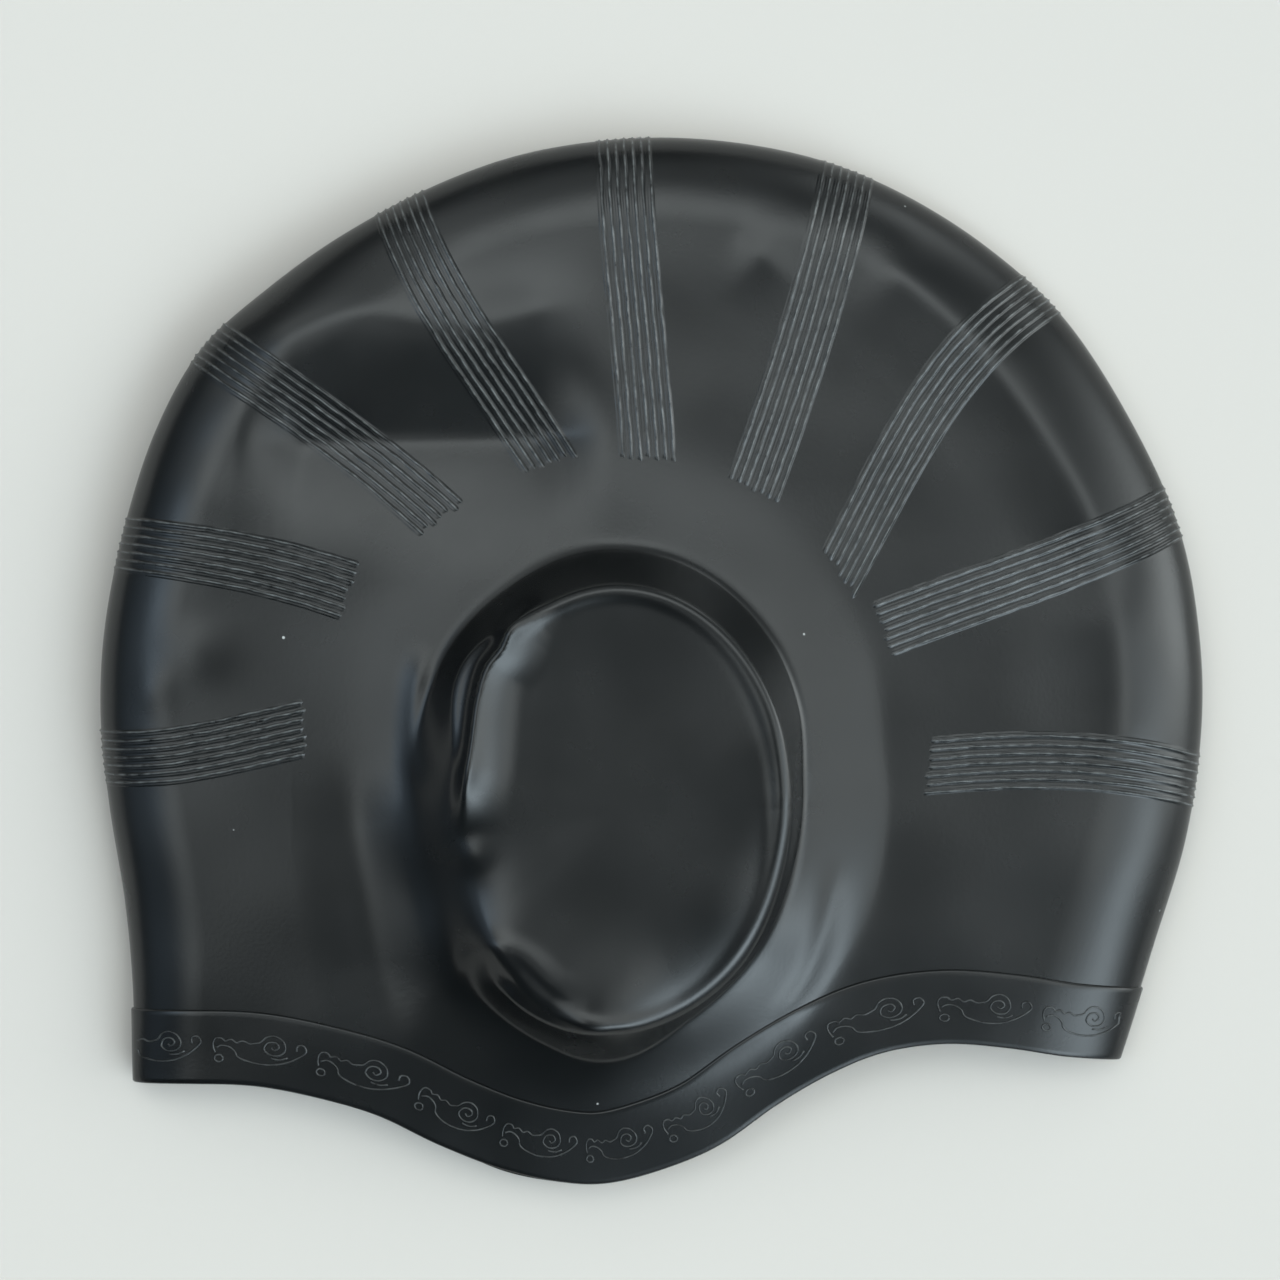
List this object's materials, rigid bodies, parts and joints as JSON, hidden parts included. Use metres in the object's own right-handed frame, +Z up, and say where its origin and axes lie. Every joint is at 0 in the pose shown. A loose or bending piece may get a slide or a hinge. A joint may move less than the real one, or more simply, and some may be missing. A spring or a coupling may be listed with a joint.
{
  "type": "swim cap",
  "caption": "Moulded silicone swim cap lying flat, with domed ear pockets, fans of fine ribs and a raised scroll border along its thicker hem.",
  "frame": {"origin": "under the middle of the cap's box, on the surface that it lies on", "axes": "+X along the hem, from the left fold to the right one; +Y from the hem towards the crown; +Z up from the surface through both faces"},
  "size_m": [0.2298, 0.2182, 0.0318],
  "materials": {
    "silicone": "satin"
  },
  "bodies": {
    "root": {"swim_cap": "silicone"}
  },
  "joints": []
}
